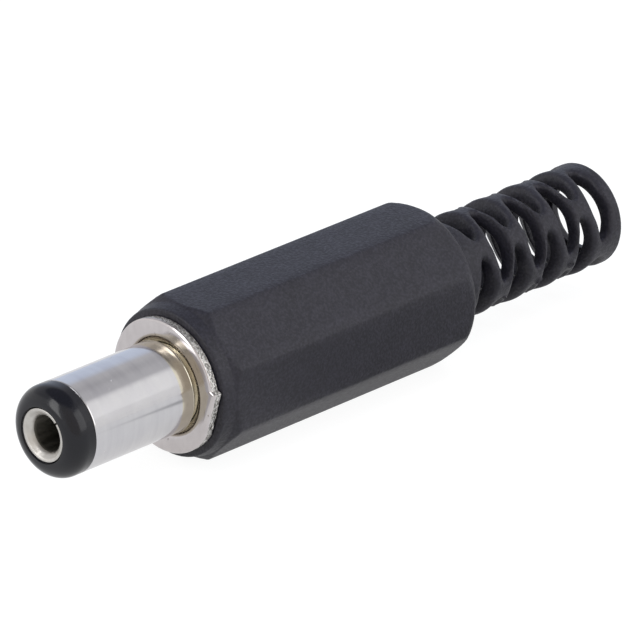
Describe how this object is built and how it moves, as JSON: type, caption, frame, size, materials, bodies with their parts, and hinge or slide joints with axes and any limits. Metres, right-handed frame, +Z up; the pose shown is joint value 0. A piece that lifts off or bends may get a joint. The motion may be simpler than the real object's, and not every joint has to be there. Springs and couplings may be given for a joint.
{
  "type": "dc power plug",
  "caption": "Straight coaxial dc power plug with a nickel barrel, insulated tip, stamped flange and a screw-on octagonal handle with a slotted strain relief.",
  "frame": {"origin": "on the mating axis, at the root of the barrel just in front of the flange", "axes": "+X along the mating axis towards the tip, +Z up with the plug lying on one flat of its handle"},
  "size_m": [0.0439, 0.0092, 0.0092],
  "materials": {
    "handle_plastic": "fine matt moulded grain",
    "barrel_nickel": "bright nickel plate over brass",
    "nose_plastic": "glossy moulded",
    "contact_metal": "nickel plate over brass",
    "flange_metal": "satin nickel plate, sheared edge",
    "bush_plastic": "moulded thread",
    "tag_metal": "tinned",
    "washer_fibre": "pressed fibre"
  },
  "bodies": {
    "contact_unit": {"outer_barrel": "barrel_nickel", "tip_insulator": "nose_plastic", "inner_contact": "contact_metal", "flange_plate": "flange_metal", "threaded_bush": "bush_plastic", "outer_solder_tag": "tag_metal", "insulating_washer": "washer_fibre", "centre_solder_tag": "tag_metal"},
    "handle": {"handle": "handle_plastic"}
  },
  "joints": [
    {"name": "handle_unscrew", "type": "slide", "parent": "contact_unit", "child": "handle", "axis": [-1, 0, 0], "range_m": [0, 0.024]}
  ]
}
